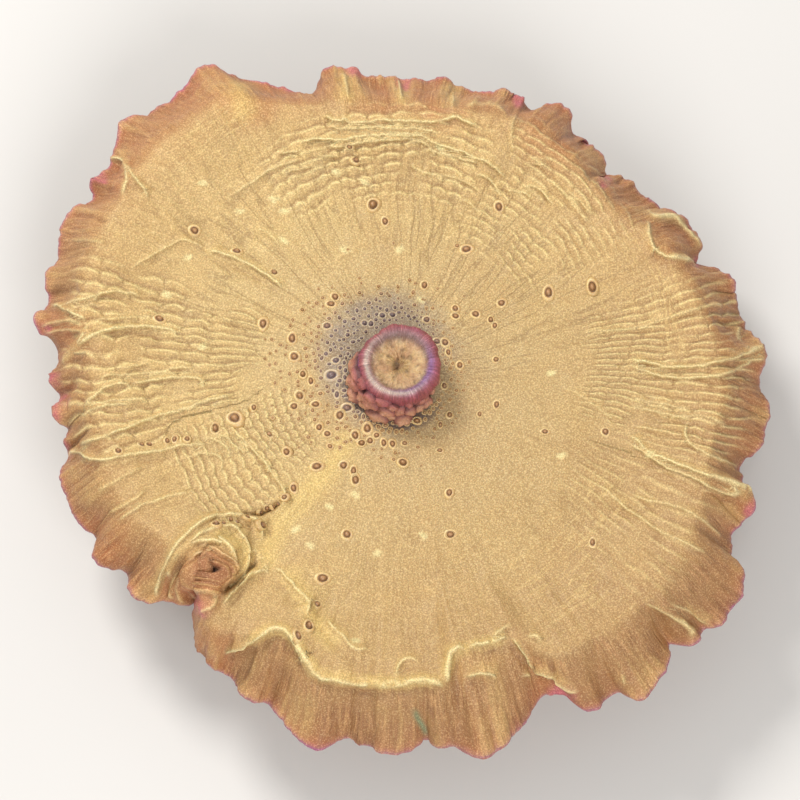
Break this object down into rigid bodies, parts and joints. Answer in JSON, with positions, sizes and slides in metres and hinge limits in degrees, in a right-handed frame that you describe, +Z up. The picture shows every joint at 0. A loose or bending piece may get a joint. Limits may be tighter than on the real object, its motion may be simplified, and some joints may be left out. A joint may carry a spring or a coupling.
{
  "type": "mushroom coral",
  "caption": "Mushroom coral polyp: wide, gently dished disc with a ruffled drooping margin and a raised mouth cone, on a short column cut flat at its foot.",
  "frame": {"origin": "on the flat cut under the foot, under the middle of the disc's outline", "axes": "+Z up through the mouth cone, +Y away from the viewer towards the far side of the disc, +X to the right"},
  "size_m": [0.0808, 0.08, 0.023],
  "materials": {
    "polyp_flesh": "moist satin flesh, tan-gold disc, orange margin with a thin pink edge, mauve mouth cone"
  },
  "bodies": {
    "root": {"polyp": "polyp_flesh"}
  },
  "joints": []
}
